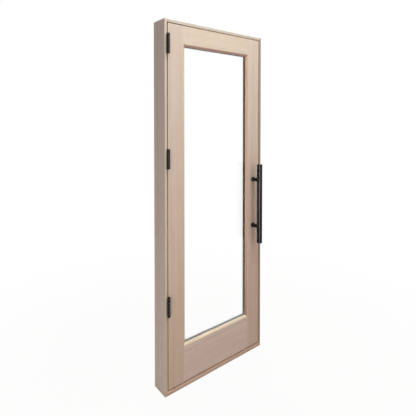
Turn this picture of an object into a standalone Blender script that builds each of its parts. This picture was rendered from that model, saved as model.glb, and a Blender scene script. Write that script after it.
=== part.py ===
"""Sauna door: a glazed stile-and-rail leaf hung on three butt hinges in a wooden box frame.

Units are metres. Seen from outside, +X is to the right, the outside faces -Y and +Z is up.
The origin is the middle of the sill's underside, where the unit stands in its rough opening.
"""
import math

import bmesh
import bpy

# Leaf
LEAF_WIDTH = 0.711
LEAF_HEIGHT = 2.032
LEAF_THICKNESS = 0.044
STILE_WIDTH = 0.102
TOP_RAIL_HEIGHT = 0.102
BOTTOM_RAIL_HEIGHT = 0.208
LATCH_EDGE_BEVEL = 0.0023
LEAF_ARRIS_RADIUS = 0.002
OPENING_ARRIS = 0.001

# Box frame
FRAME_DEPTH = 0.116
JAMB_THICKNESS = 0.016
HEADER_THICKNESS = 0.016
SILL_THICKNESS = 0.025
SILL_TOP_RADIUS = 0.006
SILL_UNDER_RADIUS = 0.003
FRAME_ARRIS_RADIUS = 0.0015
STOP_THICKNESS = 0.012
STOP_DEPTH = 0.038

# Glazing
PANE_THICKNESS = 0.004
PANE_SPACING = 0.012
PANE_EDGE_CLEARANCE = 0.003
BEAD_WIDTH = 0.0127
BEAD_LIP = 0.003
BEAD_TOE = 0.002
BEAD_RECESS = 0.001
SPACER_INSET = 0.001
SPACER_SIGHT_LINE = 0.0015

# Butt hinges, each of five knuckles on a loose pin
HINGE_HEIGHT = 0.102
HINGE_PLATE_DEPTH = 0.030
HINGE_PLATE_THICKNESS = 0.003
HINGE_PIN_RADIUS = 0.0055
HINGE_PIN_FIT = 0.0003
HINGE_TIP_RADIUS = 0.0082
HINGE_TIP_COLLAR = 0.0030
HINGE_TIP_DOME = 0.0015
KNUCKLE_COUNT = 5
KNUCKLE_GAP = 0.0004
KNUCKLE_SEAM = 0.0004
BARREL_TO_FACE = 0.0007
TOP_HINGE_DROP = 0.113
MIDDLE_HINGE_DROP = 0.744
BOTTOM_HINGE_RISE = 0.470

# Pull bar outside, of steel
BAR_RADIUS = 0.0175
BAR_LENGTH = 0.512
PULL_STANDOFF = 0.064
POST_RADIUS = 0.0115
ROSETTE_RADIUS = 0.0145
PULL_TO_LATCH_EDGE = 0.055

# Grip inside, of wood, because metal burns the hand in a sauna
GRIP_RADIUS = 0.014
GRIP_LENGTH = 0.400
GRIP_STANDOFF = 0.042
GRIP_POST_RADIUS = 0.010
GRIP_ROSETTE_RADIUS = 0.0145
GRIP_TO_LATCH_EDGE = 0.0385

# Both pulls
PULL_RISE = 0.962
POST_SPACING = 0.305
PULL_END_ARRIS = 0.001
ROSETTE_THICKNESS = 0.010
ROSETTE_ARRIS = 0.0008

# Magnetic catch, let into the latch edge and the latch jamb
CATCH_LENGTH = 0.060
CATCH_WIDTH = 0.016
CATCH_THICKNESS = 0.0025

# Clearances
LEAF_CLEARANCE = 0.0055
SILL_CLEARANCE = 0.008
JOINT_GAP = 0.0003
CUT_MARGIN = 0.002

# Facets, merging and shading of round shapes
ARC_STEPS = 4
BARREL_STEPS = 18
PIN_FACETS = 18
BAR_FACETS = 32
POST_FACETS = 24
MERGE_DISTANCE = 1e-6
SMOOTH_ANGLE = math.radians(35)

# Levels and faces worked out from the sizes above
LEAF_BOTTOM = SILL_THICKNESS + SILL_CLEARANCE
LEAF_TOP = LEAF_BOTTOM + LEAF_HEIGHT
HEADER_UNDERSIDE = LEAF_TOP + LEAF_CLEARANCE
FRAME_TOP = HEADER_UNDERSIDE + HEADER_THICKNESS
FRAME_FRONT = -FRAME_DEPTH / 2
FRAME_BACK = FRAME_DEPTH / 2
LEAF_EDGE = LEAF_WIDTH / 2
JAMB_FACE = LEAF_EDGE + LEAF_CLEARANCE
FRAME_EDGE = JAMB_FACE + JAMB_THICKNESS
LEAF_FRONT = FRAME_FRONT
LEAF_BACK = LEAF_FRONT + LEAF_THICKNESS
LEAF_MIDDLE = (LEAF_FRONT + LEAF_BACK) / 2
STILE_INNER = LEAF_EDGE - STILE_WIDTH
OPENING_TOP = LEAF_TOP - TOP_RAIL_HEIGHT
OPENING_BOTTOM = LEAF_BOTTOM + BOTTOM_RAIL_HEIGHT
OPENING_WIDTH = 2 * STILE_INNER
OPENING_HEIGHT = OPENING_TOP - OPENING_BOTTOM
OPENING_CENTRE = (OPENING_TOP + OPENING_BOTTOM) / 2
GLASS_FRONT = LEAF_MIDDLE - PANE_SPACING / 2 - PANE_THICKNESS
BEAD_DEPTH = GLASS_FRONT - LEAF_FRONT - BEAD_RECESS - JOINT_GAP
BARREL_RADIUS = HINGE_PIN_RADIUS + HINGE_PIN_FIT + HINGE_PLATE_THICKNESS
PIN_X = -LEAF_EDGE - LEAF_CLEARANCE / 2
PIN_Y = FRAME_FRONT - BARREL_TO_FACE - BARREL_RADIUS
PULL_X = LEAF_EDGE - PULL_TO_LATCH_EDGE
GRIP_X = LEAF_EDGE - GRIP_TO_LATCH_EDGE
PULL_Z = LEAF_BOTTOM + PULL_RISE

# Turns a shape drawn in Y and Z, and pushed out along X, from its own X, Y and Z
LYING = (math.pi / 2, 0, math.pi / 2)
FACING_OUT = (math.pi / 2, 0, 0)
FACING_IN = (-math.pi / 2, 0, 0)


def clear_scene():
    """Remove the objects that a new file starts with."""
    for item in list(bpy.data.objects):
        bpy.data.objects.remove(item, do_unlink=True)


def material(name, colour, roughness, metallic=0.0, transmission=0.0):
    """A Principled material with one colour."""
    finish = bpy.data.materials.new(name)
    finish.use_nodes = True
    shader = finish.node_tree.nodes["Principled BSDF"]
    shader.inputs["Base Color"].default_value = (*colour, 1.0)
    shader.inputs["Roughness"].default_value = roughness
    shader.inputs["Metallic"].default_value = metallic
    shader.inputs["Transmission Weight"].default_value = transmission
    return finish


def clear_softwood():
    """Pale, pinkish, knot-free softwood, sanded and left bare."""
    return material("clear_softwood", (0.62, 0.47, 0.36), 0.6)


def black_steel():
    """Steel with a satin black powder coat."""
    return material("black_powder_coated_steel", (0.012, 0.012, 0.014), 0.35, metallic=0.3)


def clear_glass():
    """Toughened clear glass."""
    return material("clear_glass", (0.96, 0.98, 0.97), 0.03, transmission=1.0)


def black_spacer():
    """Black spacer bar and sealant between the panes."""
    return material("black_spacer", (0.03, 0.03, 0.035), 0.6)


def bright_magnet():
    """Nickel-plated magnet plate and keeper."""
    return material("nickel_plated_steel", (0.62, 0.60, 0.57), 0.3, metallic=1.0)


def add_object(name, shape, finish, location, rotation=(0, 0, 0), parent=None):
    """Put a bmesh in the scene as a named object at a world location, and parent it."""
    bmesh.ops.recalc_face_normals(shape, faces=shape.faces)
    mesh = bpy.data.meshes.new(name)
    shape.to_mesh(mesh)
    shape.free()
    mesh.materials.append(finish)
    item = bpy.data.objects.new(name, mesh)
    bpy.context.scene.collection.objects.link(item)
    item.location = location
    item.rotation_euler = rotation
    if parent is not None:
        item.parent = parent
        item.location = item.location - parent.location
    return item


def shade_round(item):
    """Shade a turned piece smooth across its facets and sharp at its corners."""
    item.data.shade_smooth()
    item.data.set_sharp_from_angle(angle=SMOOTH_ANGLE)


def hide_cutter(item):
    """Show a cutter as wire only, so that it isn't part of the door."""
    item.hide_render = True
    item.display_type = "WIRE"


def cut(item, cutter):
    """Take the cutter's shape out of the item."""
    tool = item.modifiers.new("cut_" + cutter.name, "BOOLEAN")
    tool.operation = "DIFFERENCE"
    tool.solver = "EXACT"
    tool.object = cutter


def eased_outline(corners):
    """Points of an outline whose corners (x, y, radius) are rounded by arcs, or sharp at radius 0."""
    points = []
    for index, (x, y, radius) in enumerate(corners):
        before = corners[index - 1]
        after = corners[(index + 1) % len(corners)]
        if radius == 0:
            points.append((x, y))
            continue
        to_before = math.atan2(before[1] - y, before[0] - x)
        to_after = math.atan2(after[1] - y, after[0] - x)
        half = ((to_after - to_before + math.pi) % (2 * math.pi) - math.pi) / 2
        middle = to_before + half
        reach = radius / math.sin(abs(half))
        centre = (x + reach * math.cos(middle), y + reach * math.sin(middle))
        sweep = math.copysign(math.pi - 2 * abs(half), half)
        start = middle + math.pi + sweep / 2
        for step in range(ARC_STEPS + 1):
            turn = start - sweep * step / ARC_STEPS
            points.append((centre[0] + radius * math.cos(turn), centre[1] + radius * math.sin(turn)))
    return points


def rectangle(x_low, x_high, y_low, y_high, radii=(0, 0, 0, 0)):
    """Corners of a rectangle, anticlockwise from the lowest, each with its own radius."""
    places = ((x_low, y_low), (x_high, y_low), (x_high, y_high), (x_low, y_high))
    return [(x, y, radius) for (x, y), radius in zip(places, radii)]


def prism(outline, length, setbacks=None):
    """A solid with the outline as its section, pushed out along Z and centred on it.

    Setbacks shorten each end at each outline point, which mitres the ends.
    """
    shape = bmesh.new()
    setbacks = setbacks or [0] * len(outline)
    low = [shape.verts.new((x, y, back - length / 2)) for (x, y), back in zip(outline, setbacks)]
    high = [shape.verts.new((x, y, length / 2 - back)) for (x, y), back in zip(outline, setbacks)]
    for index in range(len(outline)):
        following = (index + 1) % len(outline)
        shape.faces.new((low[index], low[following], high[following], high[index]))
    shape.faces.new(low)
    shape.faces.new(high)
    return shape


def add_box(shape, x_span, y_span, z_span):
    """Add a plain box between the given limits to a shape."""
    corners = bmesh.ops.create_cube(shape, size=1.0)["verts"]
    for corner in corners:
        for axis, (low, high) in enumerate((x_span, y_span, z_span)):
            corner.co[axis] = low if corner.co[axis] < 0 else high


def turned(profile, facets):
    """A solid turned about Z from (radius, height) points, with flat ends."""
    shape = bmesh.new()
    chain = [shape.verts.new((radius, 0, height)) for radius, height in profile]
    edges = [shape.edges.new(pair) for pair in zip(chain, chain[1:])]
    bmesh.ops.spin(shape, geom=chain + edges, cent=(0, 0, 0), axis=(0, 0, 1), dvec=(0, 0, 0),
                   angle=2 * math.pi, steps=facets, use_merge=True)
    bmesh.ops.remove_doubles(shape, verts=shape.verts, dist=MERGE_DISTANCE)
    rims = [edge for edge in shape.edges if edge.is_boundary]
    bmesh.ops.holes_fill(shape, edges=rims, sides=facets)
    return shape


def latch_edge_x(y):
    """How far right the latch edge reaches at a depth, with its bevel towards the inside."""
    return LEAF_EDGE - LATCH_EDGE_BEVEL * (y - LEAF_FRONT) / LEAF_THICKNESS


def upright(name, corners, low, high, finish, parent=None):
    """A vertical member with its section drawn in X and Y, between two heights."""
    centre_x = sum(corner[0] for corner in corners) / len(corners)
    centre_y = sum(corner[1] for corner in corners) / len(corners)
    outline = eased_outline([(x - centre_x, y - centre_y, radius) for x, y, radius in corners])
    place = (centre_x, centre_y, (low + high) / 2)
    return add_object(name, prism(outline, high - low), finish, place, parent=parent)


def crosspiece(name, corners, half_length, finish, parent=None):
    """A level member with its section drawn in Y and Z, centred across the door."""
    centre_y = sum(corner[0] for corner in corners) / len(corners)
    centre_z = sum(corner[1] for corner in corners) / len(corners)
    outline = eased_outline([(y - centre_y, z - centre_z, radius) for y, z, radius in corners])
    place = (0, centre_y, centre_z)
    return add_object(name, prism(outline, 2 * half_length), finish, place, LYING, parent)


def hinge_levels():
    """Each hinge's name and the height of its middle."""
    return (("top", LEAF_TOP - TOP_HINGE_DROP),
            ("middle", LEAF_TOP - MIDDLE_HINGE_DROP),
            ("bottom", LEAF_BOTTOM + BOTTOM_HINGE_RISE))


def hinge_mortises():
    """Cutter for the recesses of the hinge plates, in the hinge jamb and the hinge stile at once."""
    shape = bmesh.new()
    reach = LEAF_CLEARANCE / 2 + HINGE_PLATE_THICKNESS + JOINT_GAP
    for _, level in hinge_levels():
        add_box(shape, (PIN_X - reach, PIN_X + reach),
                (FRAME_FRONT - CUT_MARGIN, FRAME_FRONT + HINGE_PLATE_DEPTH + JOINT_GAP),
                (level - HINGE_HEIGHT / 2 - JOINT_GAP, level + HINGE_HEIGHT / 2 + JOINT_GAP))
    return shape


def catch_recess():
    """Cutter for the recesses of the catch, in the latch stile and the latch jamb at once."""
    shape = bmesh.new()
    add_box(shape,
            (latch_edge_x(LEAF_MIDDLE) - CATCH_THICKNESS - JOINT_GAP,
             JAMB_FACE + CATCH_THICKNESS + JOINT_GAP),
            (LEAF_MIDDLE - CATCH_WIDTH / 2 - JOINT_GAP, LEAF_MIDDLE + CATCH_WIDTH / 2 + JOINT_GAP),
            (PULL_Z - CATCH_LENGTH / 2 - JOINT_GAP, PULL_Z + CATCH_LENGTH / 2 + JOINT_GAP))
    return shape


def opening_easing():
    """Cutter that eases the arrises of the glass opening: a flared shape on each face."""
    shape = bmesh.new()
    for face, inwards in ((LEAF_FRONT, 1), (LEAF_BACK, -1)):
        rings = []
        for depth in (-CUT_MARGIN, OPENING_ARRIS + CUT_MARGIN):
            spread = OPENING_ARRIS - depth
            half_width = OPENING_WIDTH / 2 + spread
            half_height = OPENING_HEIGHT / 2 + spread
            signs = ((-1, -1), (1, -1), (1, 1), (-1, 1))
            rings.append([shape.verts.new((across * half_width, face + inwards * depth,
                                           OPENING_CENTRE + up * half_height)) for across, up in signs])
        outer, inner = rings
        for index in range(len(outer)):
            following = (index + 1) % len(outer)
            shape.faces.new((outer[index], outer[following], inner[following], inner[index]))
        shape.faces.new(outer)
        shape.faces.new(inner)
    return shape


def add_cutter(name, shape, finish):
    """Put a cutter in the scene."""
    cutter = add_object(name, shape, finish, (0, 0, 0))
    hide_cutter(cutter)
    return cutter


def sill_outline():
    """Section of the sill in Y and Z: well rounded under and over its nose, eased at the back."""
    radii = (SILL_UNDER_RADIUS, FRAME_ARRIS_RADIUS, FRAME_ARRIS_RADIUS, SILL_TOP_RADIUS)
    return rectangle(FRAME_FRONT, FRAME_BACK, 0, SILL_THICKNESS, radii)


def box_frame(wood, mortises, recess):
    """The sill, the two jambs that stand on it and the header between their tops."""
    crosspiece("sill", sill_outline(), FRAME_EDGE, wood)
    arrises = (FRAME_ARRIS_RADIUS,) * 4
    foot = SILL_THICKNESS + JOINT_GAP
    hinge_jamb = upright("hinge_jamb", rectangle(-FRAME_EDGE, -JAMB_FACE, FRAME_FRONT, FRAME_BACK, arrises),
                         foot, FRAME_TOP, wood)
    latch_jamb = upright("latch_jamb", rectangle(JAMB_FACE, FRAME_EDGE, FRAME_FRONT, FRAME_BACK, arrises),
                         foot, FRAME_TOP, wood)
    crosspiece("header_jamb", rectangle(FRAME_FRONT, FRAME_BACK, HEADER_UNDERSIDE, FRAME_TOP, arrises),
               JAMB_FACE - JOINT_GAP, wood)
    cut(hinge_jamb, mortises)
    cut(latch_jamb, recess)


def door_stops(wood):
    """Planted stops behind the leaf, on the jambs and under the header."""
    front = LEAF_BACK + LEAF_CLEARANCE
    back = front + STOP_DEPTH
    eased = FRAME_ARRIS_RADIUS
    head_low = HEADER_UNDERSIDE - JOINT_GAP - STOP_THICKNESS
    side_inner = JAMB_FACE - JOINT_GAP - STOP_THICKNESS
    side_outer = JAMB_FACE - JOINT_GAP
    crosspiece("head_stop",
               rectangle(front, back, head_low, HEADER_UNDERSIDE - JOINT_GAP, (eased, eased, 0, 0)),
               side_outer, wood)
    foot = SILL_THICKNESS + JOINT_GAP
    upright("hinge_side_stop", rectangle(-side_outer, -side_inner, front, back, (0, eased, eased, 0)),
            foot, head_low - JOINT_GAP, wood)
    upright("latch_side_stop", rectangle(side_inner, side_outer, front, back, (eased, 0, 0, eased)),
            foot, head_low - JOINT_GAP, wood)


def leaf_frame(wood, swing, mortises, recess, easing):
    """Stiles of full height with the two rails between them."""
    eased = LEAF_ARRIS_RADIUS
    hinge_stile = upright("hinge_stile",
                          rectangle(-LEAF_EDGE, -STILE_INNER, LEAF_FRONT, LEAF_BACK, (eased, 0, 0, eased)),
                          LEAF_BOTTOM, LEAF_TOP, wood, swing)
    latch_corners = [(STILE_INNER, LEAF_FRONT, 0), (latch_edge_x(LEAF_FRONT), LEAF_FRONT, eased),
                     (latch_edge_x(LEAF_BACK), LEAF_BACK, eased), (STILE_INNER, LEAF_BACK, 0)]
    latch_stile = upright("latch_stile", latch_corners, LEAF_BOTTOM, LEAF_TOP, wood, swing)
    half_length = STILE_INNER - JOINT_GAP
    top_corners = rectangle(LEAF_FRONT, LEAF_BACK, OPENING_TOP, LEAF_TOP, (0, 0, eased, eased))
    bottom_corners = rectangle(LEAF_FRONT, LEAF_BACK, LEAF_BOTTOM, OPENING_BOTTOM, (eased, eased, 0, 0))
    top_rail = crosspiece("top_rail", top_corners, half_length, wood, swing)
    bottom_rail = crosspiece("bottom_rail", bottom_corners, half_length, wood, swing)
    cut(hinge_stile, mortises)
    cut(latch_stile, recess)
    for member in (hinge_stile, latch_stile, top_rail, bottom_rail):
        cut(member, easing)


def bead_shape(length):
    """A glazing bead along Z: X runs from the wood into the opening, Y from the face to the glass."""
    outline = [(0, 0), (BEAD_LIP, 0), (BEAD_WIDTH, BEAD_DEPTH - BEAD_TOE), (BEAD_WIDTH, BEAD_DEPTH),
               (0, BEAD_DEPTH)]
    mitres = [reach for reach, _ in outline]
    return prism(outline, length, mitres)


def glazing_beads(wood, swing):
    """Four mitred beads on each side of the glass."""
    across = OPENING_WIDTH / 2 - JOINT_GAP
    up = OPENING_HEIGHT / 2 - JOINT_GAP
    for side, inwards in (("outer", 1), ("inner", -1)):
        face = LEAF_MIDDLE - inwards * (LEAF_THICKNESS / 2 - BEAD_RECESS)
        places = (("hinge_side", (-across, face, OPENING_CENTRE), 2 * up, 0),
                  ("top", (0, face, OPENING_CENTRE + up), 2 * across, 1),
                  ("latch_side", (across, face, OPENING_CENTRE), 2 * up, 2),
                  ("bottom", (0, face, OPENING_CENTRE - up), 2 * across, 3))
        for edge, place, length, quarter_turns in places:
            shape = bead_shape(length - 2 * JOINT_GAP)
            bmesh.ops.scale(shape, vec=(1, inwards, 1), verts=shape.verts)
            turn = (0, quarter_turns * math.pi / 2, 0)
            add_object(f"{side}_{edge}_bead", shape, wood, place, turn, swing)


def pane(name, front, finish, swing):
    """One pane of the sealed unit, held clear of the wood all round."""
    shape = bmesh.new()
    half_width = OPENING_WIDTH / 2 - PANE_EDGE_CLEARANCE
    half_height = OPENING_HEIGHT / 2 - PANE_EDGE_CLEARANCE
    add_box(shape, (-half_width, half_width), (0, PANE_THICKNESS), (-half_height, half_height))
    add_object(name, shape, finish, (0, front, OPENING_CENTRE), parent=swing)


def spacer_ring(finish, swing):
    """The spacer bar round the edge of the sealed unit, between the panes."""
    shape = bmesh.new()
    outer = PANE_EDGE_CLEARANCE + SPACER_INSET
    inner = BEAD_WIDTH + SPACER_SIGHT_LINE
    rings = []
    for inset in (outer, inner):
        half_width = OPENING_WIDTH / 2 - inset
        half_height = OPENING_HEIGHT / 2 - inset
        for depth in (JOINT_GAP, PANE_SPACING - JOINT_GAP):
            signs = ((-1, -1), (1, -1), (1, 1), (-1, 1))
            rings.append([shape.verts.new((across * half_width, depth, up * half_height))
                          for across, up in signs])
    outer_front, outer_back, inner_front, inner_back = rings
    section = (outer_front, outer_back, inner_back, inner_front)
    for first, second in zip(section, section[1:] + section[:1]):
        for index in range(len(first)):
            following = (index + 1) % len(first)
            shape.faces.new((first[index], first[following], second[following], second[index]))
    place = (0, GLASS_FRONT + PANE_THICKNESS, OPENING_CENTRE)
    add_object("glass_spacer", shape, finish, place, parent=swing)


def sealed_glass(glass, spacer, swing):
    """Two panes with a black spacer bar between them."""
    pane("outer_pane", GLASS_FRONT, glass, swing)
    pane("inner_pane", GLASS_FRONT + PANE_THICKNESS + PANE_SPACING, glass, swing)
    spacer_ring(spacer, swing)


def curl_outline():
    """Section of a hinge plate's rolled end about the pin, from its gap side to its wood side.

    The plate comes from +Y at -X of the pin. The sheet passes the pin's far side, and its end
    stops a seam's width short of the plate.
    """
    bore = BARREL_RADIUS - HINGE_PLATE_THICKNESS
    gap_side = -LEAF_CLEARANCE / 2
    wood_side = gap_side - HINGE_PLATE_THICKNESS
    seam = gap_side + KNUCKLE_SEAM
    full = 2 * math.pi
    points = []
    for radius, start_x, end_x, clockwise in ((bore, gap_side, seam, False),
                                              (BARREL_RADIUS, seam, wood_side, True)):
        start = math.acos(start_x / radius)
        end = math.acos(end_x / radius)
        sweep = (end - start) % full if not clockwise else -((start - end) % full)
        for step in range(BARREL_STEPS + 1):
            turn = start + sweep * step / BARREL_STEPS
            points.append((radius * math.cos(turn), radius * math.sin(turn)))
    return points


def knuckle_spans(own_first):
    """Low and high ends of one plate's own knuckles, from the hinge's lower end."""
    length = (HINGE_HEIGHT - (KNUCKLE_COUNT - 1) * KNUCKLE_GAP) / KNUCKLE_COUNT
    pitch = length + KNUCKLE_GAP
    return [(index * pitch, index * pitch + length) for index in range(own_first, KNUCKLE_COUNT, 2)]


def hinge_plate(own_first):
    """A flat plate with its own knuckles rolled from it, about a pin along Z at X = Y = 0."""
    shape = bmesh.new()
    face = BARREL_RADIUS + BARREL_TO_FACE
    gap_side = -LEAF_CLEARANCE / 2
    wood_side = gap_side - HINGE_PLATE_THICKNESS
    corners = ((wood_side, face + HINGE_PLATE_DEPTH), (gap_side, face + HINGE_PLATE_DEPTH),
               (gap_side, face), (wood_side, face))
    spans = knuckle_spans(own_first)
    heights = sorted({0.0, HINGE_HEIGHT, *(height for span in spans for height in span)})
    levels = []
    for height in heights:
        z = height - HINGE_HEIGHT / 2
        levels.append([shape.verts.new((x, y, z)) for x, y in corners])
    shape.faces.new(levels[0])
    shape.faces.new(levels[-1])
    starts = {low for low, _ in spans}
    for low, high, height in zip(levels, levels[1:], heights):
        for first, second in ((0, 1), (1, 2), (3, 0)):
            shape.faces.new((low[first], low[second], high[second], high[first]))
        if height not in starts:
            shape.faces.new((low[2], low[3], high[3], high[2]))
            continue
        curls = []
        for level in (low, high):
            z = level[0].co.z
            rolled = [shape.verts.new((x, y, z)) for x, y in curl_outline()]
            curls.append([level[2], *rolled, level[3]])
            shape.faces.new(curls[-1])
        under, over = curls
        for index in range(len(under) - 1):
            shape.faces.new((under[index], under[index + 1], over[index + 1], over[index]))
    return shape


def hinge_pin():
    """A loose pin with a slightly domed button at each end."""
    shank_end = HINGE_HEIGHT / 2 + JOINT_GAP
    dome_foot = shank_end + HINGE_TIP_COLLAR
    half = [(HINGE_PIN_RADIUS, shank_end), (HINGE_TIP_RADIUS, shank_end)]
    for step in range(ARC_STEPS):
        turn = math.pi / 2 * step / ARC_STEPS
        half.append((HINGE_TIP_RADIUS * math.cos(turn), dome_foot + HINGE_TIP_DOME * math.sin(turn)))
    profile = [(radius, -height) for radius, height in reversed(half)] + half
    return turned(profile, PIN_FACETS)


def hinges(steel, swing):
    """Three butt hinges: a plate in the jamb, a plate in the stile, and the pin."""
    for name, level in hinge_levels():
        place = (PIN_X, PIN_Y, level)
        frame_plate = add_object(f"{name}_hinge_frame_plate", hinge_plate(0), steel, place)
        leaf_shape = hinge_plate(1)
        bmesh.ops.scale(leaf_shape, vec=(-1, 1, 1), verts=leaf_shape.verts)
        leaf_plate = add_object(f"{name}_hinge_leaf_plate", leaf_shape, steel, place, parent=swing)
        pin = add_object(f"{name}_hinge_pin", hinge_pin(), steel, place)
        for item in (frame_plate, leaf_plate, pin):
            shade_round(item)


def bar_profile(radius, length):
    """Half section of a pull bar with eased ends, centred on its length."""
    half = length / 2
    inner = radius - PULL_END_ARRIS
    shoulder = half - PULL_END_ARRIS
    return [(inner, -half), (radius, -shoulder), (radius, shoulder), (inner, half)]


def post_profile(rosette_radius, shaft_radius, standoff):
    """Half section of a standoff: a rosette on the wood and a thinner shaft out to the bar."""
    seat = JOINT_GAP
    top = seat + ROSETTE_THICKNESS
    return [(rosette_radius - ROSETTE_ARRIS, seat), (rosette_radius, seat + ROSETTE_ARRIS),
            (rosette_radius, top - ROSETTE_ARRIS), (rosette_radius - ROSETTE_ARRIS, top),
            (shaft_radius, top), (shaft_radius, standoff)]


def pull(side, post_foot, turn, bar_size, post_size, finish, swing):
    """A round bar on two standoffs, whose ends are hollowed to the bar.

    The bar's place is given by the foot of its posts on the leaf and by the posts' turn.
    """
    radius, length, standoff = bar_size
    foot_x, foot_y = post_foot
    outwards = -1 if turn == FACING_OUT else 1
    bar_place = (foot_x, foot_y + outwards * standoff, PULL_Z)
    bar_shape = turned(bar_profile(radius, length), BAR_FACETS)
    bar = add_object(f"{side}_pull_bar", bar_shape, finish, bar_place, parent=swing)
    shade_round(bar)
    saddle_shape = turned(bar_profile(radius + JOINT_GAP, length), BAR_FACETS)
    saddle = add_object(f"{side}_pull_saddle", saddle_shape, finish, bar_place, parent=swing)
    hide_cutter(saddle)
    for position, offset in (("upper", POST_SPACING / 2), ("lower", -POST_SPACING / 2)):
        post_shape = turned(post_profile(*post_size, standoff), POST_FACETS)
        post_place = (foot_x, foot_y, PULL_Z + offset)
        post = add_object(f"{side}_pull_{position}_post", post_shape, finish, post_place, turn, swing)
        shade_round(post)
        cut(post, saddle)


def pulls(steel, wood, swing):
    """The steel pull outside and the wooden grip inside."""
    pull("outer", (PULL_X, LEAF_FRONT), FACING_OUT, (BAR_RADIUS, BAR_LENGTH, PULL_STANDOFF),
         (ROSETTE_RADIUS, POST_RADIUS), steel, swing)
    pull("inner", (GRIP_X, LEAF_BACK), FACING_IN, (GRIP_RADIUS, GRIP_LENGTH, GRIP_STANDOFF),
         (GRIP_ROSETTE_RADIUS, GRIP_POST_RADIUS), wood, swing)


def magnetic_catch(finish, swing):
    """A magnet plate flush in the bevelled latch edge, and its keeper flush in the jamb."""
    low = PULL_Z - CATCH_LENGTH / 2
    high = PULL_Z + CATCH_LENGTH / 2
    front = LEAF_MIDDLE - CATCH_WIDTH / 2
    back = LEAF_MIDDLE + CATCH_WIDTH / 2
    bed = latch_edge_x(LEAF_MIDDLE) - CATCH_THICKNESS
    magnet = [(bed, front, 0), (latch_edge_x(front), front, 0),
              (latch_edge_x(back), back, 0), (bed, back, 0)]
    keeper = rectangle(JAMB_FACE, JAMB_FACE + CATCH_THICKNESS, front, back)
    upright("catch_magnet", magnet, low, high, finish, swing)
    upright("catch_keeper", keeper, low, high, finish)


def swing_axis():
    """The empty on the hinge pins that carries the leaf."""
    axis = bpy.data.objects.new("door_swing_axis", None)
    bpy.context.scene.collection.objects.link(axis)
    axis.location = (PIN_X, PIN_Y, 0)
    return axis


def build():
    """Make the whole door."""
    clear_scene()
    wood = clear_softwood()
    steel = black_steel()
    swing = swing_axis()
    mortises = add_cutter("hinge_mortises", hinge_mortises(), wood)
    recess = add_cutter("catch_recess", catch_recess(), wood)
    easing = add_cutter("opening_easing", opening_easing(), wood)
    box_frame(wood, mortises, recess)
    door_stops(wood)
    leaf_frame(wood, swing, mortises, recess, easing)
    glazing_beads(wood, swing)
    sealed_glass(clear_glass(), black_spacer(), swing)
    hinges(steel, swing)
    pulls(steel, wood, swing)
    magnetic_catch(bright_magnet(), swing)


build()
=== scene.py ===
"""Looks of the pre-hung sauna door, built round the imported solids.

Units are metres. Seen from outside, +X is to the right, the outside faces -Y and +Z is up.
The hinges are on the left, and the leaf swings out towards -Y about their pins.
"""
import math

import bmesh
import bpy
import numpy as np
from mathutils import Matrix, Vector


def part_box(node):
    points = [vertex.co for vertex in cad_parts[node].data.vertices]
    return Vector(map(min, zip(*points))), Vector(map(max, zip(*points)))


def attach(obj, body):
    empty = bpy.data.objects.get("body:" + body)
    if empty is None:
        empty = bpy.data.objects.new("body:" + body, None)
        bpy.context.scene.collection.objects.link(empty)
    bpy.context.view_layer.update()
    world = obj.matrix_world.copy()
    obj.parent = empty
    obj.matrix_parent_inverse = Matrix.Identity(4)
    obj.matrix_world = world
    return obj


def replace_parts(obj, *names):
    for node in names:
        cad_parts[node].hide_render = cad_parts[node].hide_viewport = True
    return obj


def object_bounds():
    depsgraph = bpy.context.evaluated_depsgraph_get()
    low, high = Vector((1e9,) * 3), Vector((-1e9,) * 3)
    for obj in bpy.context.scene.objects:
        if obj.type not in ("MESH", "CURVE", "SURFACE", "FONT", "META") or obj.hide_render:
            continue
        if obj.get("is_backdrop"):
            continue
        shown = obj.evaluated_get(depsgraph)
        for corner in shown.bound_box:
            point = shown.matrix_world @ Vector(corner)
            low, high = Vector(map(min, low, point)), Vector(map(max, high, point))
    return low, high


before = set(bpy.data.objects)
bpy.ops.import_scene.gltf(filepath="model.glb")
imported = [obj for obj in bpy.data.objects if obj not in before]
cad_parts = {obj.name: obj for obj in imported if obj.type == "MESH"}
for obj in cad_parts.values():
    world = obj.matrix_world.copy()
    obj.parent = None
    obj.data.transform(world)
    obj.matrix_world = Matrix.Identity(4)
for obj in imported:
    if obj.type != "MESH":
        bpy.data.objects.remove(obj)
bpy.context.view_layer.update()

# Sill, jambs and header. The box is of clear western hemlock, planed and sanded but not oiled:
# the jambs stand on the sill, the header is let in between their tops, and each corner is
# nailed from outside. Bare hemlock is pale and slightly pink, with straight, quiet grain.
GRAIN_ALONG_X = (0, -math.pi / 2, 0)
GRAIN_ALONG_Y = (math.pi / 2, 0, 0)
GRAIN_ALONG_Z = (0, 0, 0)
RING_WIDTH = 0.0042         # 2 to 3 mm in the tree, drawn a little coarser so that it shows
RING_WANDER = 0.010         # how far a ring strays from its circle
WANDER_RATE = (7, 7, 1.2)   # how often it strays, per metre across, through and along
LOG_TAPER = 0.02            # how far a metre along the log counts as distance from the pith
YEARS_IN_RUN = 6            # good and lean years come in runs of about this many
RUN_SHIFT = 3.0             # and shift the rings by up to this many ring widths
LATE_WOOD = ((0.0, 0.1), (1.0, 0.0), (0.45, 0.1), (0.86, 1.0), (0.95, 0.9))     # over a year
STREAK_WIDTH = 0.020        # a run of like years, which shows from afar as a soft stripe
BLOTCH_WIDTH = 0.032        # a pinker or greyer patch, long in the grain
BLOTCH_LENGTH = 0.300
FIBRE_WIDTH = 0.0009        # a bundle of fibres
FIBRE_LENGTH = 0.045
FIBRE_HEIGHT = 0.00012
EDGE_WEAR_AND_HIGHLIGHT_REACH = 0.0060        # wear and a painted highlight on lit edges leave them a little warmer for this far
END_SKIN = 0.0002           # how deep the tint of a sawn end or of the face with painted light goes
PAINTED_FOOT_SHADE_FADE = 0.002           # the painted shade along the foot fades out over this much below and above its height
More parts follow.
